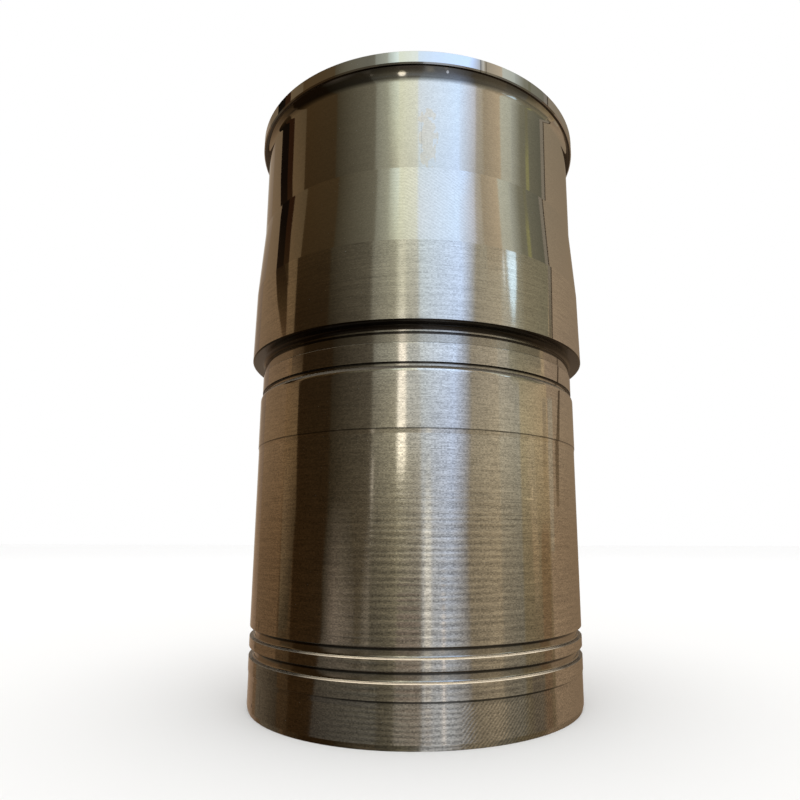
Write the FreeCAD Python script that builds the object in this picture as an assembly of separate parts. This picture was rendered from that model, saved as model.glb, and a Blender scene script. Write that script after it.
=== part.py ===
import FreeCAD, Part
import math
import os

# Wet cylinder liner of a heavy diesel engine, cast as a tube and turned all over.
# Millimetres, +Z up the bore. The origin is the centre of the lower end face.

# Overall length and bore
total_length = 267.3
bore_radius = 68.5
bore_top_chamfer = 1.0
bore_foot_chamfer_width = 0.8
bore_foot_chamfer_height = 1.6

# Wall thickness of each stretch, measured out from the bore
flange_wall = 11.1
top_band_wall = 8.1
taper_foot_wall = 10.4
stop_wall = 10.9
neck_wall = 5.45
collar_wall = 5.8
barrel_wall = 6.25

# Flange at the top and the cove under it
flange_thickness = 5.9
flange_edge_break = 0.5
cove_radius = 12.5
cove_reach = 1.5

# Upper body: a plain band, a taper that widens downwards, and the band above the stop
top_band_height = 39.0
taper_height = 32.0
stop_depth = 115.6
stop_edge_break = 0.5

# Root of the stop seat, with its grinding relief
root_radius = 1.8
relief_depth = 0.55
relief_height = 3.0

# Neck, collar and the narrow groove below the collar
neck_height = 3.9
collar_height = 7.75
narrow_groove_height = 1.4
narrow_groove_depth = 1.0
narrow_groove_corner = 0.4

# Press-fit pilot with its rounded lead-in
lead_in_radius = 2.8
pilot_height = 21.6
pilot_step = 0.25

# Small steps inwards, each a broken edge and a slow run-out
step_edge_break = 0.15
step_run_out = 2.0

# Two empty seal grooves near the lower end
seal_groove_width = 3.8
seal_groove_depth = 2.0
seal_groove_corner = 0.8
seal_groove_edge_break = 0.2
seal_groove_pitch = 8.1
lower_seal_groove_height = 23.6

# Foot below the seal grooves
foot_height = 16.0
foot_step = 0.25
foot_chamfer_height = 2.0
foot_chamfer_width = 0.5


class Outline:
    """Half section of the liner: radius along X, height along Z, drawn edge by edge."""

    def __init__(self, radius, height):
        self.start = FreeCAD.Vector(radius, 0, height)
        self.here = self.start
        self.edges = []

    def line_to(self, radius, height):
        end = FreeCAD.Vector(radius, 0, height)
        self.edges.append(Part.LineSegment(self.here, end).toShape())
        self.here = end

    def arc_about(self, centre_radius, centre_height, end_degrees):
        """Arc from where the outline stands, about a centre, to an angle up from +X."""
        across = self.here.x - centre_radius
        up = self.here.z - centre_height
        size = math.hypot(across, up)
        start_angle = math.atan2(up, across)
        end_angle = math.radians(end_degrees)
        points = []
        for angle in ((start_angle + end_angle) / 2, end_angle):
            x = centre_radius + size * math.cos(angle)
            z = centre_height + size * math.sin(angle)
            points.append(FreeCAD.Vector(x, 0, z))
        middle, end = points
        self.edges.append(Part.Arc(self.here, middle, end).toShape())
        self.here = end

    def close(self):
        self.edges.append(Part.LineSegment(self.here, self.start).toShape())
        return Part.Face(Part.Wire(self.edges))


def draw_flange(outline, flange_radius, band_radius):
    """Top face outwards, the flange's rim and underside, and the cove down to the band."""
    underside = total_length - flange_thickness
    cove_drop = math.sqrt(cove_radius ** 2 - (cove_radius - cove_reach) ** 2)
    outline.line_to(flange_radius - flange_edge_break, total_length)
    outline.line_to(flange_radius, total_length - flange_edge_break)
    outline.line_to(flange_radius, underside + flange_edge_break)
    outline.line_to(flange_radius - flange_edge_break, underside)
    outline.line_to(band_radius + cove_reach, underside)
    outline.arc_about(band_radius + cove_radius, underside - cove_drop, 180)


def draw_stop(outline, band_radius, taper_foot_radius, stop_radius, neck_radius):
    """Upper body down to the stop seat, then in along the seat and round its root."""
    seat = total_length - stop_depth
    floor_radius = neck_radius - relief_depth
    taper_top = outline.here.z - top_band_height
    outline.line_to(band_radius, taper_top)
    outline.line_to(taper_foot_radius, taper_top - taper_height)
    outline.line_to(stop_radius, seat + stop_edge_break)
    outline.line_to(stop_radius - stop_edge_break, seat)
    outline.line_to(floor_radius + root_radius, seat)
    outline.arc_about(floor_radius + root_radius, seat - root_radius, 180)
    outline.line_to(floor_radius, seat - relief_height + relief_depth)
    outline.line_to(neck_radius, seat - relief_height)


def draw_neck(outline, neck_radius, collar_radius, pilot_radius):
    """Neck, collar, narrow groove, and the lead-in that opens onto the pilot."""
    collar_top = outline.here.z - neck_height
    collar_step = collar_radius - neck_radius
    groove_top = collar_top - collar_height
    floor_radius = collar_radius - narrow_groove_depth
    lead_in_centre = pilot_radius - lead_in_radius
    lead_in_top = groove_top - narrow_groove_height
    lead_in_drop = math.sqrt(lead_in_radius ** 2 - (floor_radius - lead_in_centre) ** 2)
    corner = narrow_groove_corner
    outline.line_to(neck_radius, collar_top)
    outline.line_to(collar_radius, collar_top - collar_step)
    outline.line_to(collar_radius, groove_top)
    outline.line_to(floor_radius + corner, groove_top)
    outline.arc_about(floor_radius + corner, groove_top - corner, 180)
    outline.line_to(floor_radius, lead_in_top)
    outline.arc_about(lead_in_centre, lead_in_top - lead_in_drop, 0)


def draw_step_in(outline, height, new_radius):
    """A step inwards at a height: a broken edge, then a slow run-out to the new radius."""
    old_radius = outline.here.x
    outline.line_to(old_radius, height)
    outline.line_to(old_radius - step_edge_break, height - step_edge_break)
    outline.line_to(new_radius, height - step_run_out)


def draw_seal_groove(outline, centre_height):
    """An empty seal groove with round floor corners and broken edges."""
    land_radius = outline.here.x
    floor_radius = land_radius - seal_groove_depth
    top = centre_height + seal_groove_width / 2
    bottom = centre_height - seal_groove_width / 2
    corner = seal_groove_corner
    edge = seal_groove_edge_break
    outline.line_to(land_radius, top + edge)
    outline.line_to(land_radius - edge, top)
    outline.line_to(floor_radius + corner, top)
    outline.arc_about(floor_radius + corner, top - corner, 180)
    outline.line_to(floor_radius, bottom + corner)
    outline.arc_about(floor_radius + corner, bottom + corner, 270)
    outline.line_to(land_radius - edge, bottom)
    outline.line_to(land_radius, bottom - edge)


def draw_foot(outline):
    """Lead-in chamfer of the foot, the lower end face, and the chamfer into the bore."""
    foot_radius = outline.here.x
    outline.line_to(foot_radius, foot_chamfer_height)
    outline.line_to(foot_radius - foot_chamfer_width, 0)
    outline.line_to(bore_radius + bore_foot_chamfer_width, 0)
    outline.line_to(bore_radius, bore_foot_chamfer_height)


def make_liner():
    neck_radius = bore_radius + neck_wall
    band_radius = bore_radius + top_band_wall
    barrel_radius = bore_radius + barrel_wall
    pilot_radius = barrel_radius + pilot_step
    foot_radius = barrel_radius - foot_step

    outline = Outline(bore_radius + bore_top_chamfer, total_length)
    draw_flange(outline, bore_radius + flange_wall, band_radius)
    draw_stop(outline, band_radius, bore_radius + taper_foot_wall, bore_radius + stop_wall, neck_radius)
    draw_neck(outline, neck_radius, bore_radius + collar_wall, pilot_radius)
    draw_step_in(outline, outline.here.z - pilot_height, barrel_radius)
    draw_seal_groove(outline, lower_seal_groove_height + seal_groove_pitch)
    draw_seal_groove(outline, lower_seal_groove_height)
    draw_step_in(outline, foot_height, foot_radius)
    draw_foot(outline)
    outline.line_to(bore_radius, total_length - bore_top_chamfer)
    section = outline.close()
    return section.revolve(FreeCAD.Vector(0, 0, 0), FreeCAD.Vector(0, 0, 1), 360)


os.makedirs("parts", exist_ok=True)
liner = make_liner()
liner.exportStep("parts/cylinder_liner.step")
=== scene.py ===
import bmesh
import bpy
import math
from mathutils import Matrix


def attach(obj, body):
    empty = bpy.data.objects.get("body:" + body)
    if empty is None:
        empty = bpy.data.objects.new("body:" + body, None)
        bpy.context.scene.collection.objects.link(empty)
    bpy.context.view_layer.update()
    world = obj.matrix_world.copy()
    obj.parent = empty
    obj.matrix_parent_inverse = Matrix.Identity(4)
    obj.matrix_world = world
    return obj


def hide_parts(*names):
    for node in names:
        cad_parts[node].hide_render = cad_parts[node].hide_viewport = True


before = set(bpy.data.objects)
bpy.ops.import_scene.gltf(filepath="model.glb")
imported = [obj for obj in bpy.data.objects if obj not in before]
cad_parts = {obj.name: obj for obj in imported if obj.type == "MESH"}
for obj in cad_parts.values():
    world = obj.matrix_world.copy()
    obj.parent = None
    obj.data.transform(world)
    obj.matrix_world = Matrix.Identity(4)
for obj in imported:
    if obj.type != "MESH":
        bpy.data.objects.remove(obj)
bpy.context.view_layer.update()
stage = bpy.context.scene

# Camera. The liner is seen from close by and low down, with the eye about a quarter of the
# way up and looking slightly upwards, so that its flange runs as an arch at the top.
eye = (0.00335, -0.2984, 0.07115)
eye_pitch = math.radians(10.48)
eye_roll = math.radians(0.12)
camera_data = bpy.data.cameras.new("camera")
camera_data.sensor_width = 36.0
camera_data.lens = 27.62
camera_data.shift_x = -0.0297
camera_data.shift_y = 0.0307
camera = bpy.data.objects.new("camera", camera_data)
upright = Matrix.Rotation(math.pi / 2 + eye_pitch, 4, "X")
camera.matrix_world = Matrix.Translation(eye) @ upright @ Matrix.Rotation(eye_roll, 4, "Z")
stage.collection.objects.link(camera)
stage.camera = camera
stage.view_settings.view_transform = "Standard"

# Floor. A sheet of matt white paper, wide enough to run out to the white surroundings. Its
# colour carries painted light: it is painted a little darker round the liner and paler
# outwards, so that its far edge doesn't show. It isn't seen in the iron, so that the foot
# keeps its dark tone.
floor_half_width = 6.0
floor_dim_radius = 0.3
floor_pale_radius = 1.6
paper_painted_dim = (0.86, 0.855, 0.845, 1)
paper_white = (1.0, 1.0, 1.0, 1)
floor_mesh = bpy.data.meshes.new("floor")
sheet = bmesh.new()
bmesh.ops.create_grid(sheet, x_segments=1, y_segments=1, size=floor_half_width)
sheet.to_mesh(floor_mesh)
sheet.free()
floor = bpy.data.objects.new("floor", floor_mesh)
floor.visible_glossy = False
stage.collection.objects.link(floor)

floor_paper = bpy.data.materials.new("floor_paper")
floor_paper.use_nodes = True
paper_nodes = floor_paper.node_tree.nodes
paper_links = floor_paper.node_tree.links
paper = paper_nodes["Principled BSDF"]
paper.inputs["Roughness"].default_value = 0.9
paper.inputs["Specular IOR Level"].default_value = 0.1
floor_place = paper_nodes.new("ShaderNodeTexCoord")
floor_radius = paper_nodes.new("ShaderNodeVectorMath")
floor_radius.operation = "LENGTH"
painted_paling = paper_nodes.new("ShaderNodeMapRange")
painted_paling.inputs["From Min"].default_value = floor_dim_radius
painted_paling.inputs["From Max"].default_value = floor_pale_radius
paper_mix = paper_nodes.new("ShaderNodeMix")
paper_mix.data_type = "RGBA"
paper_mix.inputs["A"].default_value = paper_painted_dim
paper_mix.inputs["B"].default_value = paper_white
paper_links.new(floor_place.outputs["Object"], floor_radius.inputs[0])
paper_links.new(floor_radius.outputs["Value"], painted_paling.inputs["Value"])
paper_links.new(painted_paling.outputs["Result"], paper_mix.inputs["Factor"])
paper_links.new(paper_mix.outputs["Result"], paper.inputs["Base Color"])
floor_mesh.materials.append(floor_paper)

# Soft box and white surroundings. They light the floor, give the faint shadow round the
# foot, and reach the few matt edges of the liner. Its polished iron shows the tent alone.
surroundings = bpy.data.worlds.new("surroundings")
surroundings.use_nodes = True
white = surroundings.node_tree.nodes["Background"]
white.inputs["Color"].default_value = (1, 1, 1, 1)
white.inputs["Strength"].default_value = 1.0
stage.world = surroundings
box_light = bpy.data.lights.new("soft_box", "AREA")
box_light.shape = "DISK"
box_light.size = 1.2
box_light.energy = 8.0
soft_box = bpy.data.objects.new("soft_box", box_light)
soft_box.location = (0.0, -0.3, 1.6)
soft_box.visible_glossy = False
stage.collection.objects.link(soft_box)

# Tent. Cards on a round frame stand about the liner, and only the iron sees them. They are
# so far off that every spot of the iron has them in the same directions. Their tones are
# set one by one after the zones in the metal, from a dark doorway to a cool window.
tent_radius = 20.0
soft_radius = 0.95 * tent_radius
trim_radius = 0.9 * tent_radius
card_steps = 8
ground, under_table, table_edge, low = -90, -28, -20, -14
horizon, level, ledge, shelf = 0, 10, 16, 22
high, overhead, zenith = 38, 60, 90
# What a card keeps of red, green and blue at each height, in degrees above the horizon:
# cool high up, warm towards the ground
tent_heights = {
    ground: (0.75, 0.70, 0.65),
    under_table: (0.75, 0.72, 0.68),
    table_edge: (0.75, 0.72, 0.70),
    low: (1.02, 0.97, 0.94),
    horizon: (1.00, 0.94, 0.87),
    level: (1.0, 1.0, 1.0),
    ledge: (0.92, 0.93, 0.99),
    shelf: (0.98, 1.00, 1.03),
    high: (0.95, 1.05, 1.12),
    overhead: (1.3, 1.4, 1.5),
    zenith: (2.6, 2.7, 2.7),
}
# Name, from and to in degrees round from the camera, tone at each of those edges, and the
# share of its brightness that the card has high up and low down
tent_cards = [
    ("back", 152, 208, (0.27, 0.195, 0.125), (0.44, 0.35, 0.27), 1.0, 0.8),
    ("left_wall", -152, -137, (0.30, 0.21, 0.14), (0.22, 0.15, 0.10), 1.4, 1.1),
    ("left_panel", -137, -103, (0.27, 0.175, 0.10), (0.25, 0.155, 0.08), 0.8, 0.6),
    ("brown_door", -103, -89, (0.24, 0.145, 0.07), (0.20, 0.125, 0.06), 0.62, 0.3),
    ("doorway", -89, -60, (0.036, 0.019, 0.007), (0.036, 0.021, 0.009), 2.2, 1.1),
    ("grey_wall", -60, -29.5, (0.042, 0.030, 0.016), (0.125, 0.105, 0.072), 1.85, 1.05),
    ("lit_wall", -29.5, -13, (0.26, 0.235, 0.175), (0.48, 0.44, 0.32), 1.4, 0.32),
    ("cream_card", -13, 4, (0.58, 0.54, 0.39), (0.62, 0.59, 0.51), 2.0, 0.36),
    ("window_side", 4, 58, (0.20, 0.185, 0.15), (0.62, 0.53, 0.38), 0.95, 0.64),
    ("light_strip", 58, 75, (0.63, 0.565, 0.43), (0.50, 0.47, 0.375), 1.28, 0.42),
    ("olive_wall", 75, 103, (0.57, 0.485, 0.31), (0.59, 0.44, 0.26), 0.36, 0.34),
    ("right_wall", 103, 152, (0.46, 0.34, 0.225), (0.28, 0.20, 0.125), 0.84, 0.78),
]
# In front of them hang the window, which narrows downwards and fades into the wall on its
# right, and other cards whose edges are soft. Each is a list of its heights from the bottom
# up, with its two edges and its tone at each edge.
soft_cards = {
    "window": [
        (-90, 4.4, 20.8, (0.40, 0.40, 0.40), (0.40, 0.40, 0.40)),
        (-14, 4.4, 20.8, (0.52, 0.52, 0.52), (0.52, 0.54, 0.57)),
        (0, 4.0, 22.0, (0.61, 0.60, 0.57), (0.64, 0.71, 0.86)),
        (10, 3.1, 25.0, (0.77, 0.82, 0.84), (0.82, 0.97, 1.30)),
        (16, 2.5, 26.9, (0.82, 0.90, 0.94), (0.87, 1.06, 1.45)),
        (17.4, 2.3, 27.4, (0.98, 1.06, 1.10), (1.02, 1.26, 1.72)),
        (19.0, 2.2, 27.9, (0.98, 1.06, 1.10), (1.02, 1.26, 1.72)),
        (20.5, 2.0, 28.4, (0.86, 0.96, 1.01), (0.91, 1.13, 1.57)),
        (26, 1.5, 30.2, (0.91, 1.03, 1.10), (0.96, 1.21, 1.70)),
        (33.6, 0.8, 30.0, (0.97, 1.13, 1.22), (1.03, 1.32, 1.86)),
        (37.2, 0.5, 30.0, (1.12, 1.25, 1.40), (1.11, 1.44, 1.95)),
        (38.6, 0.5, 30.5, (1.12, 1.25, 1.40), (1.11, 1.44, 1.95)),
        (42, 0.5, 38.0, (1.06, 1.23, 1.36), (1.06, 1.37, 1.98)),
        (60, 0.5, 38.0, (1.40, 1.55, 1.70), (1.45, 1.85, 2.60)),
        (90, 0.5, 38.0, (2.70, 3.00, 3.10), (2.90, 3.50, 4.70)),
    ],
    "window_fade": [
        (-90, 20.8, 36.0, (0.40, 0.40, 0.40), (0.24, 0.22, 0.19)),
        (-14, 20.8, 36.0, (0.52, 0.54, 0.57), (0.30, 0.27, 0.235)),
        (0, 22.0, 34.0, (0.64, 0.71, 0.86), (0.34, 0.30, 0.25)),
        (10, 25.0, 37.0, (0.82, 0.97, 1.30), (0.42, 0.38, 0.32)),
        (16, 26.9, 37.6, (0.82, 0.98, 1.32), (0.38, 0.35, 0.29)),
        (26, 30.2, 39.0, (0.92, 1.14, 1.58), (0.48, 0.45, 0.38)),
        (33.6, 30.0, 42.0, (0.97, 1.18, 1.54), (0.68, 0.67, 0.68)),
        (37.2, 30.0, 42.5, (1.06, 1.32, 1.76), (0.84, 0.85, 0.94)),
        (38.6, 30.5, 42.5, (1.06, 1.32, 1.76), (0.84, 0.85, 0.94)),
        (42, 38.0, 46.0, (1.06, 1.37, 1.98), (0.62, 0.60, 0.55)),
        (60, 38.0, 46.0, (1.45, 1.85, 2.60), (0.74, 0.72, 0.65)),
        (90, 38.0, 46.0, (2.90, 3.50, 4.70), (1.50, 1.40, 1.20)),
    ],
    "pale_wall": [
        (30, 40.6, 48.0, (0.50, 0.47, 0.40), (0.50, 0.44, 0.32)),
        (33.6, 42.0, 48.0, (0.55, 0.51, 0.44), (0.54, 0.48, 0.37)),
        (37.2, 42.5, 48.0, (0.63, 0.59, 0.53), (0.60, 0.53, 0.41)),
        (38.6, 42.5, 48.0, (0.63, 0.59, 0.53), (0.60, 0.53, 0.41)),
        (42, 46.0, 48.0, (0.62, 0.60, 0.55), (0.60, 0.56, 0.48)),
    ],
    "cream_edge": [
        (33, -17.5, -13.0, (0.52, 0.50, 0.38), (0.72, 0.70, 0.55)),
        (36, -20.5, -13.0, (0.55, 0.55, 0.42), (1.00, 1.04, 0.80)),
        (42, -20.5, -13.0, (0.66, 0.70, 0.58), (1.22, 1.36, 1.22)),
        (90, -20.5, -13.0, (1.50, 1.50, 1.40), (2.50, 2.60, 2.50)),
    ],
    "tan_wall": [
        (26, 48.0, 61.5, (0.50, 0.43, 0.31), (0.60, 0.52, 0.38)),
        (31, 48.0, 62.0, (0.46, 0.385, 0.275), (0.66, 0.53, 0.365)),
        (60, 48.0, 62.0, (0.62, 0.52, 0.38), (0.86, 0.70, 0.50)),
    ],
    "strip_fade": [
        (14.5, 69.0, 77.0, (0.50, 0.47, 0.36), (0.50, 0.43, 0.28)),
        (16.3, 68.0, 77.0, (0.42, 0.39, 0.29), (0.36, 0.32, 0.22)),
        (18, 67.0, 77.0, (0.38, 0.36, 0.265), (0.30, 0.27, 0.19)),
        (20.5, 69.0, 77.0, (0.46, 0.44, 0.34), (0.34, 0.30, 0.20)),
        (26, 70.0, 78.0, (0.46, 0.44, 0.34), (0.34, 0.30, 0.20)),
        (29, 71.0, 80.0, (0.52, 0.52, 0.43), (0.26, 0.24, 0.165)),
        (36, 71.5, 80.5, (0.56, 0.57, 0.49), (0.26, 0.25, 0.18)),
        (40, 73.0, 82.0, (0.56, 0.57, 0.49), (0.30, 0.28, 0.20)),
        (60, 74.0, 83.0, (0.66, 0.66, 0.58), (0.38, 0.35, 0.26)),
    ],
    "olive_shade": [
        (14.5, 77.0, 99.0, (0.50, 0.43, 0.28), (0.50, 0.39, 0.25)),
        (16.3, 77.0, 99.0, (0.36, 0.32, 0.22), (0.32, 0.265, 0.18)),
        (18, 77.0, 99.0, (0.30, 0.27, 0.19), (0.24, 0.205, 0.145)),
        (20.5, 77.0, 99.0, (0.34, 0.30, 0.20), (0.28, 0.25, 0.165)),
        (26, 78.0, 102.0, (0.34, 0.30, 0.20), (0.28, 0.25, 0.165)),
        (29, 80.0, 102.5, (0.26, 0.24, 0.165), (0.165, 0.155, 0.11)),
        (36, 80.5, 103.0, (0.26, 0.25, 0.18), (0.165, 0.16, 0.12)),
        (40, 82.0, 103.5, (0.30, 0.28, 0.20), (0.27, 0.245, 0.18)),
        (60, 83.0, 104.0, (0.38, 0.35, 0.26), (0.35, 0.32, 0.24)),
    ],
}
# Lamps, posts, strips and the glow on the walls hang in front of those. Each is a list of
# its heights from the bottom up, with its two edges and one tone, or its tone at each edge.
tent_trims = {
    "door_post": [
        (19.3, -100, -97, (0.12, 0.07, 0.035)), (20.4, -103.5, -97, (0.09, 0.05, 0.022)),
        (22.3, -109.5, -97.5, (0.065, 0.037, 0.015)), (24.3, -113.5, -98.5, (0.04, 0.022, 0.009)),
        (26.4, -116, -106, (0.022, 0.012, 0.006)), (32, -121, -110, (0.008, 0.005, 0.003)),
        (75, -121, -110, (0.006, 0.004, 0.003)),
    ],
    "door_shade": [
        (24.3, -98.5, -97.5, (0.06, 0.035, 0.015)), (26.4, -106, -99, (0.045, 0.026, 0.010)),
        (32, -110, -103, (0.030, 0.012, 0.005)), (75, -110, -103, (0.030, 0.012, 0.005)),
    ],
    "lamp": [
        (6.5, -11.2, -7.8, (1.4, 1.3, 1.05)), (7.4, -12.4, -6.7, (1.95, 1.8, 1.45)),
        (10, -12.4, -6.7, (1.9, 1.75, 1.45)), (12, -12.2, -6.9, (1.6, 1.5, 1.28)),
        (16.5, -12.1, -6.9, (1.75, 1.62, 1.40)), (18.6, -12.0, -7.0, (1.75, 1.62, 1.40)),
        (20.5, -11.9, -7.1, (1.25, 1.17, 1.0)), (24, -11.6, -7.2, (0.95, 0.92, 0.72)),
        (34, -11.6, -7.0, (0.98, 0.98, 0.80)),
    ],
    "cream_glow": [
        (8, -6.7, 3.4, (0.60, 0.57, 0.45), (0.62, 0.59, 0.50)),
        (11, -6.7, 3.0, (0.67, 0.66, 0.59), (0.69, 0.69, 0.65)),
        (16.5, -6.7, 2.4, (0.75, 0.77, 0.72), (0.77, 0.80, 0.80)),
        (18.6, -6.7, 2.3, (0.75, 0.77, 0.72), (0.77, 0.80, 0.80)),
        (20.5, -6.7, 2.1, (0.59, 0.56, 0.45), (0.61, 0.59, 0.52)),
    ],
    "wall_glow": [
        (14, -29.5, -13, (0.245, 0.22, 0.165), (0.455, 0.42, 0.31)),
        (16.5, -29.5, -13, (0.30, 0.29, 0.24), (0.50, 0.49, 0.40)),
        (18.6, -29.5, -13, (0.30, 0.29, 0.24), (0.50, 0.49, 0.40)),
        (20.5, -29.5, -13, (0.255, 0.23, 0.18), (0.47, 0.435, 0.325)),
    ],
    "thin_lamp": [
        (0, -29.4, -28.2, (0.20, 0.18, 0.13)), (3, -29.6, -28.2, (0.42, 0.37, 0.29)),
        (6.8, -29.4, -28.0, (0.85, 0.76, 0.62)), (7.6, -29.0, -28.4, (0.6, 0.55, 0.45)),
    ],
    "low_lamp": [
        (-24, 6.2, 9.8, (0.30, 0.27, 0.26)), (-15, 6.0, 10.0, (0.48, 0.45, 0.43)),
        (-9, 5.8, 10.0, (0.90, 0.85, 0.76)), (0, 5.8, 10.0, (1.00, 0.97, 0.88)),
        (4, 6.2, 10.0, (0.86, 0.86, 0.82)), (8, 6.4, 9.6, (0.80, 0.84, 0.86)),
    ],
    "faint_lamp": [
        (-24, 17.2, 18.8, (1.20, 1.12, 1.04)), (-10, 17.2, 18.8, (1.05, 0.96, 0.90)),
        (-5, 17.2, 18.8, (0.62, 0.58, 0.57)),
    ],
    "red_shelf": [
        (-30, -13, 3.6, (0.26, 0.24, 0.21), (0.30, 0.26, 0.21)),
        (-15, -13, 3.6, (0.27, 0.245, 0.20), (0.31, 0.27, 0.22)),
        (-9, -12, 3.6, (0.26, 0.20, 0.155), (0.28, 0.22, 0.175)),
        (-5, -11, 3.6, (0.23, 0.20, 0.155), (0.24, 0.22, 0.175)),
    ],
    "low_panel": [
        (-30, -130, -100, (0.14, 0.11, 0.075), (0.050, 0.036, 0.022)),
        (-10.5, -130, -100, (0.15, 0.115, 0.078), (0.060, 0.043, 0.026)),
    ],
    "near_shelf": [
        (-30, -70, -24, (0.060, 0.050, 0.040), (0.125, 0.115, 0.095)),
        (-17, -70, -24, (0.060, 0.050, 0.040), (0.13, 0.12, 0.10)),
        (-13, -67, -24, (0.076, 0.062, 0.046), (0.15, 0.14, 0.11)),
        (-10, -64, -30, (0.10, 0.083, 0.062), (0.145, 0.12, 0.09)),
    ],
    "bench_left": [
        (-10, -63, -55, (0.09, 0.073, 0.052), (0.20, 0.165, 0.13)),
        (-7, -62, -53, (0.045, 0.033, 0.018), (0.24, 0.19, 0.145)),
        (-3, -63, -54, (0.045, 0.033, 0.018), (0.16, 0.125, 0.09)),
        (3, -60, -54, (0.045, 0.033, 0.018), (0.085, 0.068, 0.045)),
    ],
    "bench": [
        (-10, -55, -50, (0.20, 0.165, 0.13), (0.19, 0.155, 0.12)),
        (-7, -53, -49, (0.24, 0.19, 0.145), (0.23, 0.185, 0.14)),
        (-3, -54, -49, (0.16, 0.125, 0.09), (0.16, 0.13, 0.092)),
        (3, -54, -49, (0.085, 0.068, 0.045), (0.09, 0.072, 0.048)),
    ],
    "bench_right": [
        (-10, -50, -40, (0.19, 0.155, 0.12), (0.14, 0.118, 0.09)),
        (-7, -49, -39, (0.23, 0.185, 0.14), (0.125, 0.10, 0.072)),
        (-3, -49, -40, (0.16, 0.13, 0.092), (0.105, 0.084, 0.056)),
        (3, -49, -43, (0.09, 0.072, 0.048), (0.09, 0.073, 0.048)),
    ],
    "shelf_light": [
        (-10, -35, -29.5, (0.13, 0.11, 0.08), (0.29, 0.245, 0.185)),
        (-4, -35, -29.5, (0.115, 0.092, 0.062), (0.24, 0.20, 0.15)),
        (1, -32, -29.5, (0.115, 0.092, 0.060), (0.20, 0.17, 0.125)),
    ],
    "door_glow": [
        (-8, -101, -92, (0.10, 0.072, 0.04), (0.06, 0.04, 0.02)),
        (-3, -101.5, -90, (0.18, 0.12, 0.063), (0.07, 0.045, 0.022)),
        (3, -102, -87.5, (0.22, 0.14, 0.073), (0.09, 0.055, 0.025)),
        (9, -102, -89, (0.24, 0.145, 0.07), (0.18, 0.11, 0.05)),
    ],
    "door_edge": [
        (14.5, -99, -88, (0.18, 0.115, 0.06), (0.15, 0.095, 0.048)),
        (16.5, -99, -87, (0.14, 0.09, 0.05), (0.075, 0.045, 0.022)),
        (19, -99, -87, (0.14, 0.09, 0.05), (0.075, 0.045, 0.022)),
    ],
    "gap_streak": [
        (24.2, 61.4, 61.9, (0.70, 0.70, 0.62)), (25.5, 60.2, 61.6, (1.05, 1.10, 1.05)),
        (27.6, 59.4, 60.9, (1.15, 1.25, 1.25)),
    ],
    "bright_gap": [
        (21.6, 66.6, 67.4, (0.70, 0.78, 0.76)), (22.2, 65.6, 68.6, (0.85, 1.00, 1.02)),
        (22.8, 66.2, 69.2, (1.05, 1.28, 1.40)), (23.3, 64.4, 68.8, (1.05, 1.30, 1.45)),
        (23.9, 65.4, 70.2, (1.10, 1.38, 1.56)), (24.5, 63.8, 69.8, (1.12, 1.40, 1.60)),
        (25.0, 65.0, 70.8, (1.15, 1.44, 1.66)), (25.6, 63.4, 70.4, (1.15, 1.46, 1.68)),
        (26.2, 64.6, 71.2, (1.18, 1.48, 1.70)), (26.8, 62.8, 70.6, (1.20, 1.50, 1.74)),
        (27.3, 64.0, 71.0, (1.20, 1.52, 1.76)), (27.8, 62.4, 70.2, (1.15, 1.40, 1.58)),
        (28.4, 63.8, 69.4, (0.90, 1.02, 1.04)),
    ],
    "brass_strip": [
        (28, 85.6, 87.4, (0.26, 0.24, 0.15)), (30.5, 85.0, 88.2, (0.36, 0.34, 0.16)),
        (33.6, 84.8, 88.2, (0.36, 0.34, 0.16)), (35.2, 85.2, 88.2, (0.25, 0.235, 0.15)),
        (46, 86, 88, (0.22, 0.20, 0.13)),
    ],
    "dark_leg": [(-30, 80, 91.6, (0.14, 0.115, 0.085)), (-11, 80, 91.6, (0.17, 0.135, 0.095))],
    "grey_post": [(19, 99, 102, (0.21, 0.17, 0.11)), (26, 102, 105.5, (0.30, 0.26, 0.20)),
                  (60, 103.5, 110.5, (0.33, 0.29, 0.24))],
    "post_edge": [(19, 102.2, 103.4, (0.07, 0.05, 0.035)), (26, 105.5, 106.7, (0.07, 0.05, 0.035)),
                  (60, 110.5, 111.8, (0.06, 0.045, 0.03))],
    "copper_strip": [(-30, 92, 98, (0.16, 0.11, 0.068)), (-13, 92, 99, (0.21, 0.135, 0.08)),
                     (-9, 92, 100.5, (0.25, 0.16, 0.088)), (-2, 92, 101.5, (0.285, 0.185, 0.093)),
                     (0.5, 93, 101, (0.31, 0.20, 0.105)), (2.5, 96.5, 101, (0.43, 0.32, 0.185)),
                     (6.5, 97, 101.5, (0.44, 0.32, 0.18)), (13, 97.5, 102, (0.42, 0.33, 0.22))],
    "pale_post": [(-6, 85, 88, (0.30, 0.23, 0.14)), (-1, 84, 90, (0.42, 0.30, 0.17)),
                  (3, 83, 89, (0.49, 0.38, 0.235)), (9, 81.5, 88, (0.55, 0.45, 0.29))],
    "pale_edge": [(-1, 103, 107, (0.38, 0.30, 0.20)), (3, 103, 108, (0.48, 0.38, 0.26)),
                  (8, 103.5, 109, (0.49, 0.40, 0.28)), (13, 104, 110, (0.46, 0.39, 0.29))],
    "margin_line": [(3, 112, 115.5, (0.24, 0.165, 0.095)), (8, 112.5, 118, (0.19, 0.13, 0.075)),
                    (12, 117.5, 121, (0.13, 0.09, 0.055)), (17, 124, 126, (0.09, 0.06, 0.04))],
}

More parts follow.
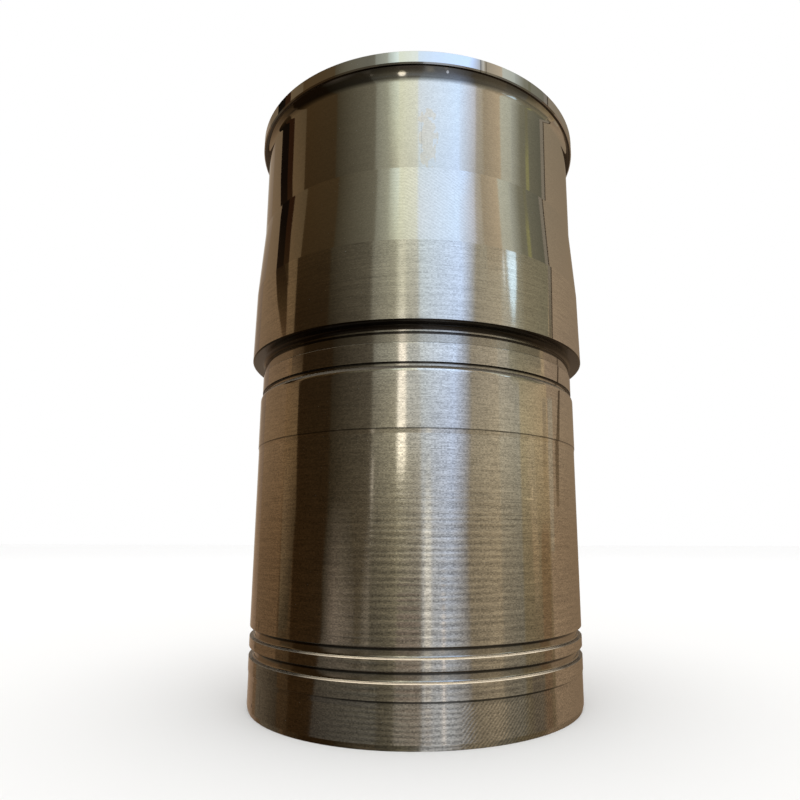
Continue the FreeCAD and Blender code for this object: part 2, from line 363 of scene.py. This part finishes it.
card_glow = bpy.data.materials.new("card_glow")
card_glow.use_nodes = True
card_nodes = card_glow.node_tree.nodes
card_nodes.clear()
tone = card_nodes.new("ShaderNodeVertexColor")
tone.layer_name = "tone"
glow = card_nodes.new("ShaderNodeEmission")
card_surface = card_nodes.new("ShaderNodeOutputMaterial")
card_glow.node_tree.links.new(tone.outputs["Color"], glow.inputs["Color"])
card_glow.node_tree.links.new(glow.outputs["Emission"], card_surface.inputs["Surface"])
card_glow.cycles.emission_sampling = "NONE"


def tent_place(radius, azimuth, elevation):
    """A point of the tent, from degrees round from the camera and up from the horizon."""
    round_by, up_by = math.radians(azimuth), math.radians(elevation)
    across = radius * math.cos(up_by)
    return (across * math.sin(round_by), -across * math.cos(round_by), radius * math.sin(up_by))


def hang(name, radius, rows):
    """Hangs a card from rows of (height, from, to, tone at from, tone at to)."""
    cloth = bmesh.new()
    tone_layer = cloth.verts.layers.float_color.new("tone")
    bmesh.ops.create_grid(cloth, x_segments=card_steps, y_segments=len(rows) - 1, size=radius)
    for index, vert in enumerate(cloth.verts):
        row, step = divmod(index, card_steps + 1)
        height, start, end, tone_start, tone_end = rows[row]
        share = step / card_steps
        vert.co = tent_place(radius, start + (end - start) * share, height)
        vert[tone_layer] = (*[a + (b - a) * share for a, b in zip(tone_start, tone_end)], 1)
    card_mesh = bpy.data.meshes.new(name)
    cloth.to_mesh(card_mesh)
    cloth.free()
    card_mesh.materials.append(card_glow)
    card = bpy.data.objects.new(name, card_mesh)
    card.visible_camera = False
    card.visible_diffuse = False
    card.visible_shadow = False
    card.visible_transmission = False
    stage.collection.objects.link(card)


def toned_at(height, tone, high_share, low_share):
    """A card's tone at one of the tent's heights."""
    horizon_gain = 0.35
    if height >= high:
        bright = high_share
    elif height > horizon:
        bright = 1.0
    elif height == horizon:
        bright = low_share + horizon_gain * (1 - low_share)
    else:
        bright = low_share
    return [bright * kept * part for kept, part in zip(tent_heights[height], tone)]


for name, start, end, tone_start, tone_end, high_share, low_share in tent_cards:
    rows = []
    for height in tent_heights:
        tones = [toned_at(height, tone, high_share, low_share) for tone in (tone_start, tone_end)]
        rows.append((height, start, end, *tones))
    hang(name, tent_radius, rows)
for name, rows in soft_cards.items():
    hang(name, soft_radius, rows)
for name, rows in tent_trims.items():
    hang(name, trim_radius, [row if len(row) == 5 else (*row, row[-1]) for row in rows])

# Liner. One iron casting, turned all over: flange, cove, plain band, taper, stop seat,
# collar, pilot and barrel, with two empty seal grooves. It stands on its foot on the floor.
# Its half section is drawn from the top of the bore, down the outside, and spun.
mm = 0.001
total_length = 267.3 * mm
bore_radius = 68.5 * mm
flange_radius = 79.6 * mm
band_radius = 76.6 * mm
taper_foot_radius = 78.9 * mm
stop_radius = 79.4 * mm
neck_radius = 73.95 * mm
collar_radius = 74.3 * mm
pilot_radius = 75.0 * mm
barrel_radius = 74.75 * mm
foot_radius = 74.5 * mm
turns = 256

section = bmesh.new()
corner = section.verts.layers.int.new("corner")
drawn = []


def cut_to(radius, height, is_corner=True):
    """Carries the half section on, straight, to a radius and a height."""
    vert = section.verts.new((radius, 0, height))
    vert[corner] = is_corner
    if drawn:
        section.edges.new((drawn[-1], vert))
    drawn.append(vert)


def round_off(centre_radius, centre_height, end_degrees, steps, ends_sharp=True):
    """Carries the half section on round an arc about a centre, to an angle up from +X."""
    across = drawn[-1].co.x - centre_radius
    up = drawn[-1].co.z - centre_height
    size = math.hypot(across, up)
    start_angle = math.atan2(up, across)
    end_angle = math.radians(end_degrees)
    for step in range(1, steps + 1):
        angle = start_angle + (end_angle - start_angle) * step / steps
        radius = centre_radius + size * math.cos(angle)
        height = centre_height + size * math.sin(angle)
        cut_to(radius, height, ends_sharp and step == steps)


# The chamfer of the bore, the flange with its broken edges, then the cove under it
bore_chamfer = 1.0 * mm
flange_height = 5.9 * mm
edge_break = 0.5 * mm
cove_size = 12.5 * mm
cove_reach = 1.5 * mm
underside = total_length - flange_height
cove_drop = math.sqrt(cove_size ** 2 - (cove_size - cove_reach) ** 2)
cut_to(bore_radius, total_length - bore_chamfer)
cut_to(bore_radius + bore_chamfer, total_length)
cut_to(flange_radius - edge_break, total_length)
cut_to(flange_radius, total_length - edge_break)
cut_to(flange_radius, underside + edge_break)
cut_to(flange_radius - edge_break, underside)
cut_to(band_radius + cove_reach, underside)
round_off(band_radius + cove_size, underside - cove_drop, 180, 16, ends_sharp=False)

# Plain band, taper and stop, then in along the seat and round its root
top_band_height = 39.0 * mm
taper_height = 32.0 * mm
stop_depth = 115.6 * mm
root_size = 1.8 * mm
relief = 0.55 * mm
relief_height = 3.0 * mm
# the band at the top of the neck that takes painted shade
neck_shade_height = 0.7 * mm
taper_top = underside - cove_drop - top_band_height
taper_foot = taper_top - taper_height
seat = total_length - stop_depth
neck_top = seat - relief_height
cut_to(band_radius, taper_top)
cut_to(taper_foot_radius, taper_foot)
cut_to(stop_radius, seat + edge_break)
cut_to(stop_radius - edge_break, seat)
cut_to(neck_radius - relief + root_size, seat, False)
round_off(neck_radius - relief + root_size, seat - root_size, 180, 10, ends_sharp=False)
cut_to(neck_radius - relief, neck_top + relief)
cut_to(neck_radius, neck_top)
cut_to(neck_radius, neck_top - neck_shade_height, False)

# Neck, collar and the narrow groove that opens on the pilot's rounded lead-in. A ring of
# points just below each rounded edge keeps the shading of the wall under it flat.
neck_height = 3.9 * mm
collar_height = 7.75 * mm
collar_flat_from = 0.1 * mm
groove_height = 1.4 * mm
groove_depth = 1.0 * mm
groove_corner = 0.4 * mm
lead_in_size = 2.8 * mm
pilot_flat_from = 0.3 * mm
collar_top = neck_top - neck_height
groove_top = collar_top - collar_height
groove_floor = collar_radius - groove_depth
lead_in_top = groove_top - groove_height
lead_in_centre = pilot_radius - lead_in_size
lead_in_drop = math.sqrt(lead_in_size ** 2 - (groove_floor - lead_in_centre) ** 2)
collar_step = collar_radius - neck_radius
cut_to(neck_radius, collar_top)
round_off(neck_radius, collar_top - collar_step, 0, 5, ends_sharp=False)
cut_to(collar_radius, collar_top - collar_step - collar_flat_from, False)
cut_to(collar_radius, groove_top)
cut_to(groove_floor + groove_corner, groove_top)
round_off(groove_floor + groove_corner, groove_top - groove_corner, 180, 5)
cut_to(groove_floor, lead_in_top)
round_off(lead_in_centre, lead_in_top - lead_in_drop, 0, 12, ends_sharp=False)
cut_to(pilot_radius, lead_in_top - lead_in_drop - pilot_flat_from, False)

# Pilot, barrel, the two seal grooves and the foot
pilot_height = 21.6 * mm
step_break = 0.15 * mm
step_run_out = 2.0 * mm
seal_width = 3.8 * mm
seal_depth = 2.0 * mm
seal_corner = 0.8 * mm
seal_break = 0.2 * mm
seal_pitch = 8.1 * mm
seal_height = 23.6 * mm
foot_height = 16.0 * mm
foot_chamfer_height = 2.0 * mm
foot_chamfer_width = 0.5 * mm
bore_foot_chamfer_height = 1.6 * mm
bore_foot_chamfer_width = 0.8 * mm
seal_floor = barrel_radius - seal_depth
pilot_foot = lead_in_top - lead_in_drop - pilot_height
cut_to(pilot_radius, pilot_foot)
cut_to(pilot_radius - step_break, pilot_foot - step_break)
cut_to(barrel_radius, pilot_foot - step_run_out)
for middle in (seal_height + seal_pitch, seal_height):
    top = middle + seal_width / 2
    bottom = middle - seal_width / 2
    cut_to(barrel_radius, top + seal_break)
    cut_to(barrel_radius - seal_break, top)
    cut_to(seal_floor + seal_corner, top, False)
    round_off(seal_floor + seal_corner, top - seal_corner, 180, 7, ends_sharp=False)
    cut_to(seal_floor, bottom + seal_corner, False)
    round_off(seal_floor + seal_corner, bottom + seal_corner, 270, 7, ends_sharp=False)
    cut_to(barrel_radius - seal_break, bottom)
    cut_to(barrel_radius, bottom - seal_break)
cut_to(barrel_radius, foot_height)
cut_to(barrel_radius - step_break, foot_height - step_break)
cut_to(foot_radius, foot_height - step_run_out)
cut_to(foot_radius, foot_chamfer_height)
cut_to(foot_radius - foot_chamfer_width, 0)
cut_to(bore_radius + bore_foot_chamfer_width, 0)
cut_to(bore_radius, bore_foot_chamfer_height)
section.edges.new((drawn[-1], drawn[0]))

# The turning. The spin makes its faces in an order that differs from run to run, so they are
# sorted. Rings through the section's corners stay sharp and the rest is shaded round.
same_height = 1e-7
same_radius = 1e-6


def place_in_mesh(face):
    """Where a face comes in the mesh, by the first and then the last of its points."""
    points = [vert.index for vert in face.verts]
    return min(points) * len(section.verts) + max(points)


whole = section.verts[:] + section.edges[:]
bmesh.ops.spin(section, geom=whole, axis=(0, 0, 1), angle=math.tau, steps=turns, use_merge=True)
bmesh.ops.recalc_face_normals(section, faces=section.faces[:])
section.verts.index_update()
section.faces.sort(key=place_in_mesh)
for face in section.faces:
    face.smooth = True
for edge in section.edges:
    first, second = edge.verts
    is_level = abs(first.co.z - second.co.z) < same_height
    is_round = abs(first.co.xy.length - second.co.xy.length) < same_radius
    if is_level and is_round and first[corner] and second[corner]:
        edge.smooth = False

liner_mesh = bpy.data.meshes.new("cylinder_liner")
section.to_mesh(liner_mesh)
section.free()
liner = bpy.data.objects.new("turned_liner", liner_mesh)
stage.collection.objects.link(liner)

# The iron's finishes. Nearly all are bare grey iron under a thin film of oil, with lines that
# run round the axis, and they differ in how fine the cut was and how glossy the film is. The
# grooves' lower lips are matt, so that they shine evenly all round, and a painted highlight
# makes them brightest in front. Recesses, inner corners and the undersides of steps are
# darkened with painted shade.
iron_tint = (0.56, 0.54, 0.50)
rim_tint = (0.58, 0.60, 0.63)
dull_and_shaded_tint = (0.40, 0.38, 0.34)
shaded_tint = (0.12, 0.105, 0.095)
lip_tint = (0.105, 0.089, 0.066)
painted_shade_tint = (0.035, 0.028, 0.022)
dried_tint = (0.575, 0.505, 0.41)
oil_weight = 0.5
oil_roughness = 0.04
square_on, glancing = 0.05, 0.65
mark_core, mark_rim = 0.7, 1.1
ragged_pitch, ragged_run, raggedness = 3.5, 2.0, 1.8
patch_core, patch_rim = 0.92, 1.0
faded_share = 0.2


def bare_iron(name, roughness, marks, grain, tint=iron_tint, margin_gloss=0.3, streak=0.3,
              waves=None, stains_and_painted_light=(), film=None, metal=1.0):
    """Cut iron under oil. marks are (pitch, run, depth, shade, twist) of its lines: how far
    apart, how long and how deep they are, in millimetres, how much they darken the iron, and
    their slant in radians round the axis per millimetre of height, or 0 where they are level.
    grain is the size of its flecks and how much they darken it. margin_gloss is the share of
    the roughness that is left at a glancing angle. waves are the tool's chatter: its (pitch,
    run, wander), its (depth, shade), the heights between which it sets in, the degrees round
    of its middle, where it starts to fade and where it has faded, and the degrees round where
    it turns uphill and how steeply. stains_and_painted_light are (degrees round, height, half
    width, half height, shade) of single marks, in millimetres: stains, nicks and scratches, and
    patches of painted shade and painted highlight. One without a width runs right round.
    film is the (degrees round, height, half width, half height, tint) of a ragged patch where
    the oil has dried. metal is 1, or 0 where the skin is matt."""
    iron = bpy.data.materials.new(name)
    iron.use_nodes = True
    nodes = iron.node_tree.nodes
    links = iron.node_tree.links
    skin = nodes["Principled BSDF"]
    skin.inputs["Metallic"].default_value = metal
    skin.inputs["Anisotropic"].default_value = streak
    skin.inputs["Anisotropic Rotation"].default_value = 0.25
    skin.inputs["Coat Weight"].default_value = oil_weight
    skin.inputs["Coat Roughness"].default_value = oil_roughness

    def fill(node, values):
        for socket, value in zip(node.inputs, values):
            if isinstance(value, (int, float)):
                socket.default_value = value
            else:
                links.new(value, socket)
        return node.outputs[0]

    def work(operation, *values):
        node = nodes.new("ShaderNodeMath")
        node.operation = operation
        return fill(node, values)

    def joined(*values):
        return fill(nodes.new("ShaderNodeCombineXYZ"), values)

    def ramp(value, start, end, to_start, to_end):
        return fill(nodes.new("ShaderNodeMapRange"), (value, start, end, to_start, to_end))

    place = nodes.new("ShaderNodeTexCoord").outputs["Object"]
    parts = nodes.new("ShaderNodeSeparateXYZ")
    links.new(place, parts.inputs["Vector"])
    x, y, z = parts.outputs
    # the cut runs round the axis
    links.new(joined(work("MULTIPLY", y, -1), x), skin.inputs["Tangent"])

    # along the tool's path: height on a wall, radius on a face
    radius = work("SQRT", work("ADD", work("POWER", x, 2), work("POWER", y, 2)))
    azimuth = work("ARCTAN2", x, work("MULTIPLY", y, -1))
    path = joined(x, y, work("ADD", z, radius))

    def lines(pitch, run, twist):
        stretch = nodes.new("ShaderNodeMapping")
        noise = nodes.new("ShaderNodeTexNoise")
        noise.inputs["Scale"].default_value = 1.0
        noise.inputs["Detail"].default_value = 1.0
        links.new(stretch.outputs["Vector"], noise.inputs["Vector"])
        across, along = 1 / (pitch * mm), 1 / (run * mm)
        if twist:
            turn = nodes.new("ShaderNodeVectorRotate")
            turn.rotation_type = "Z_AXIS"
            links.new(place, turn.inputs["Vector"])
            links.new(work("MULTIPLY", z, twist / mm), turn.inputs["Angle"])
            links.new(turn.outputs["Vector"], stretch.inputs["Vector"])
            stretch.inputs["Scale"].default_value = (across, across, along)
        else:
            links.new(path, stretch.inputs["Vector"])
            stretch.inputs["Scale"].default_value = (along, along, across)
        return work("SUBTRACT", noise.outputs["Fac"], 0.5)

    height = 0.0
    shade = 1.0
    for pitch, run, depth, darkness, twist in marks:
        rise = lines(pitch, run, twist)
        height = work("ADD", work("MULTIPLY", rise, depth), height)
        shade = work("ADD", work("MULTIPLY", rise, darkness), shade)
    if waves:
        (pitch, run, wander), (depth, darkness), sets_in, (centre, near, far), (turn, slope) = waves
        aside = work("ABSOLUTE", work("SUBTRACT", azimuth, math.radians(centre)))
        fading = ramp(aside, math.radians(near), math.radians(far), 1.0, faded_share)
        grown = ramp(z, sets_in[0] * mm, sets_in[1] * mm, 0.0, 1.0)
        growing = work("MULTIPLY", grown, fading)
        past_turn = work("MAXIMUM", work("SUBTRACT", azimuth, math.radians(turn)), 0.0)
        uphill = work("MULTIPLY", work("MULTIPLY", past_turn, radius), slope)
        along = work("MULTIPLY", work("SUBTRACT", z, uphill), math.tau / (pitch * mm))
        swing = work("ADD", along, work("MULTIPLY", lines(pitch * 2, run, 0), wander))
        rise = work("MULTIPLY", work("SINE", swing), growing)
        height = work("ADD", work("MULTIPLY", rise, depth), height)
        shade = work("ADD", work("MULTIPLY", rise, darkness), shade)

    # flecks, one tone to each grain
    fleck_size, fleck_shade = grain
    grains = nodes.new("ShaderNodeVectorMath")
    grains.operation = "SNAP"
    grains.inputs[1].default_value = (fleck_size * mm, fleck_size * mm, fleck_size * mm / 2)
    fleck = nodes.new("ShaderNodeTexWhiteNoise")
    links.new(place, grains.inputs[0])
    links.new(grains.outputs["Vector"], fleck.inputs["Vector"])
    shade = work("ADD", shade, ramp(fleck.outputs["Value"], 0.0, 1.0, -fleck_shade, fleck_shade))

    def away_from(degrees, mark_height, half_width, half_height):
        aside = 0.0
        if half_width:
            round_by = work("SUBTRACT", azimuth, math.radians(degrees))
            aside = work("DIVIDE", work("MULTIPLY", round_by, radius), half_width * mm)
        up = work("DIVIDE", work("SUBTRACT", z, mark_height * mm), half_height * mm)
        return work("SQRT", work("ADD", work("POWER", aside, 2), work("POWER", up, 2)))

    # single stains, nicks and scratches, and patches of painted shade and painted highlight
    for *spot_place, spot_shade in stains_and_painted_light:
        spotted = ramp(away_from(*spot_place), mark_core, mark_rim, spot_shade, 1.0)
        shade = work("MULTIPLY", shade, spotted)

    if marks:
        bump = nodes.new("ShaderNodeBump")
        bump.inputs["Strength"].default_value = 1.0
        bump.inputs["Distance"].default_value = mm
        links.new(height, bump.inputs["Height"])
        links.new(bump.outputs["Normal"], skin.inputs["Normal"])

    toned = nodes.new("ShaderNodeVectorMath")
    toned.operation = "SCALE"
    toned.inputs[0].default_value = tint
    if film:
        *patch, film_tint = film
        fringe = work("MULTIPLY", lines(ragged_pitch, ragged_run, 0), raggedness)
        ragged = work("ADD", away_from(*patch), fringe)
        dried = nodes.new("ShaderNodeVectorMath")
        dried.operation = "MULTIPLY_ADD"
        links.new(ramp(ragged, patch_core, patch_rim, 1.0, 0.0), dried.inputs[0])
        dried.inputs[1].default_value = [there - here for there, here in zip(film_tint, tint)]
        dried.inputs[2].default_value = tint
        links.new(dried.outputs["Vector"], toned.inputs[0])
    links.new(work("MAXIMUM", shade, 0.0), toned.inputs["Scale"])
    links.new(toned.outputs["Vector"], skin.inputs["Base Color"])

    facing = nodes.new("ShaderNodeLayerWeight").outputs["Facing"]
    gloss = ramp(facing, square_on, glancing, roughness, roughness * margin_gloss)
    links.new(gloss, skin.inputs["Roughness"])
    liner_mesh.materials.append(iron)


# The flange's rim, a little brighter on the left from a painted reflection, with a nick right
# of its middle
bare_iron(
    "flange_iron", 0.09, [(2.0, 30, 0.002, 0, 0)], (0.6, 0.03), rim_tint,
    stains_and_painted_light=[
        (-35, 264.4, 26, 12, 1.5),
        (19.6, 264.4, 0.35, 5, 0.5), (20.5, 264.4, 0.5, 5, 1.25), (21.4, 264.4, 0.3, 5, 0.55),
    ],
)
# Cove and plain band: painted shade in the cove under the flange, two painted highlights of a
# lamp in the cove, a scratch and a dried patch
upper_marks = [(0.6, 20, 0.003, 0.08, 0), (2.2, 50, 0.006, 0.04, 0)]
bare_iron(
    "upper_iron", 0.12, upper_marks, (0.6, 0.10),
    stains_and_painted_light=[
        (-6, 260.8, 84, 5.2, 0.22),
        (-4.4, 258.8, 1.7, 1.2, 4.2), (9.6, 259.9, 0.6, 0.6, 4.5),
        (1.7, 231, 0.2, 10, 0.82),
    ],
    film=(3.6, 229.5, 3.4, 12.5, dried_tint),
)
# Taper: the same cut, with faint curved lines beside its middle
bare_iron(
    "taper_iron", 0.12, upper_marks, (0.6, 0.10),
    waves=((1.45, 60, 2.5), (0.001, 0.055), (218, 217), (7, 11, 16), (-3, -0.65)),
)
# The band above the stop, then collar and pilot
bare_iron("stop_iron", 0.12, [(0.6, 14, 0.003, 0.55, 0), (2.0, 40, 0.006, 0.10, 0)], (0.6, 0.18))
bare_iron("fitted_iron", 0.11, [(0.6, 10, 0.003, 0.62, 0), (2.0, 40, 0.005, 0.10, 0)], (0.6, 0.24))
# Barrel: chatter waves low down, scratches and rubbed spots on the right, nicks by the
# grooves on the left, and a line of painted shade where it steps in below the pilot
bare_iron(
    "barrel_iron", 0.11, [(0.5, 9, 0.002, 0.66, 0), (1.4, 20, 0.003, 0.25, 0)], (0.6, 0.29),
    margin_gloss=0.5,
    waves=((2.6, 70, 9), (0.010, 0.19), (100, 66), (7, 15, 31), (90, 0)),
    stains_and_painted_light=[
        (-49.3, 30.4, 0.7, 1.2, 0.08), (32.0, 84.5, 4.5, 0.16, 0.6), (33.5, 81.0, 5.5, 0.14, 0.7),
        (31.0, 78.0, 6.0, 0.16, 0.6), (34.0, 73.0, 4.0, 0.14, 0.7), (36.0, 48.4, 2.2, 0.5, 0.75),
        (36.0, 86.0, 3.0, 0.30, 1.4), (39.5, 83.2, 2.2, 0.22, 1.4), (37.6, 88.6, 0.5, 2.2, 1.35),
        (-60.5, 27.8, 0.8, 1.3, 0.15), (-57.5, 36.5, 0.5, 2.2, 0.4), (0, 111.2, 0, 0.25, 0.5),
    ],
)
# Foot: slanted lines right of its middle, two marks on the left, a line of painted shade under
# the step
bare_iron(
    "foot_iron", 0.12, [(0.5, 8, 0.002, 0.28, 0)], (0.6, 0.28), margin_gloss=0.9,
    waves=((1.75, 16, 7), (0.006, 0.22), (16, 14), (11, 20, 36), (13, 1.1)),
    stains_and_painted_light=[(-61.9, 4.7, 0.8, 0.9, 0.08), (-54.2, 9.0, 0.3, 5.0, 0.5), (12, 15.7, 58, 0.5, 0.2)],
)
# Grooves, darker than the bare iron with painted shade in the recess, and a painted shadow
# along the top under the upper lip; their lower lips, with a painted highlight that makes them
# brightest in front; the flange's underside in painted shade; and painted shade in inner
# corners and under steps
bare_iron(
    "groove_iron", 0.16, [(0.6, 60, 0.004, 0.15, 0)], (0.6, 0.2), dull_and_shaded_tint, margin_gloss=0.6,
    stains_and_painted_light=[(0, 33.0, 0, 0.75, 0.15), (0, 24.9, 0, 0.75, 0.15), (0, 136.8, 0, 0.5, 0.2)],
)
# The lower lips: matt, with a painted highlight that makes them brightest in front
bare_iron(
    "lip_painted_highlight_iron", 0.45, [], (0.6, 0.06), lip_tint, margin_gloss=1.0, streak=0.0, metal=0.0,
    stains_and_painted_light=[(8, 27, 52, 70, 9.5)],
)
bare_iron(
    "shaded_iron", 0.20, [(0.4, 60, 0.004, 0.15, 0)], (0.6, 0.2), shaded_tint, margin_gloss=0.6,
)
# Painted shade for inner corners, the stop's seat and the undersides of steps
bare_iron("painted_shade_iron", 0.30, [], (0.6, 0.3), painted_shade_tint, margin_gloss=1.0)
# End faces, faced across, and the bore, honed both ways
hone_slant = 1.7 / (bore_radius / mm)
bare_iron(
    "faced_iron", 0.22, [(0.35, 90, 0.008, 0.10, 0), (1.2, 90, 0.02, 0.10, 0)], (0.6, 0.1),
    margin_gloss=0.6,
)
bare_iron(
    "honed_iron", 0.30, [(0.5, 25, 0.006, 0.22, hone_slant), (0.5, 25, 0.006, 0.22, -hone_slant)],
    (0.6, 0.1), margin_gloss=0.8,
)


def finish_at(radius, height, upward):
    """The finish of a face, from its middle's radius and height and how far it faces up, from
    1 where it looks straight up to -1 where it looks straight down."""
    hair = 0.01 * mm
    clear = 0.05 * mm
    if radius < bore_radius + hair:
        return "honed_iron"
    if upward > 0.99 and height > total_length - hair or upward < -0.99 and height < hair:
        return "faced_iron"
    if height > underside + hair:
        return "flange_iron"
    if height > taper_top:
        return "shaded_iron" if upward < -0.9 else "upper_iron"
    if height > taper_foot:
        return "taper_iron"
    if height > seat + edge_break:
        return "stop_iron"
    # painted shade under the stop: its lower edge, its seat and root, and the top of the neck
    if height > seat - root_size or neck_top - neck_shade_height < height < neck_top:
        return "painted_shade_iron"
    if height > collar_top:
        return "groove_iron"
    faces_down = upward < -0.2
    # in the narrow groove, painted shade on the faces that look down
    if lead_in_top < height < groove_top + hair and radius < collar_radius - clear:
        return "painted_shade_iron" if faces_down else "groove_iron"
    if height > pilot_foot:
        # the lead-in's upward faces are lips with a painted highlight
        is_lip = upward > 0.42 and radius < pilot_radius - clear
        return "lip_painted_highlight_iron" if is_lip else "fitted_iron"
    # painted shade on faces that look down: the grooves' upper walls and the steps
    if faces_down and height > foot_height - step_break:
        return "painted_shade_iron"
    if height > foot_height and radius < barrel_radius - clear:
        # the seal grooves' lower lips, with a painted highlight
        is_lip = upward > 0.8 or upward > 0.6 and radius > collar_radius
        return "lip_painted_highlight_iron" if is_lip else "groove_iron"
    return "barrel_iron" if height > foot_height else "foot_iron"


finishes = [finish.name for finish in liner_mesh.materials]
for face in liner_mesh.polygons:
    middle = face.center
    finish = finish_at(middle.xy.length, middle.z, face.normal.z)
    face.material_index = finishes.index(finish)

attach(liner, "root")
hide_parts("cylinder_liner")
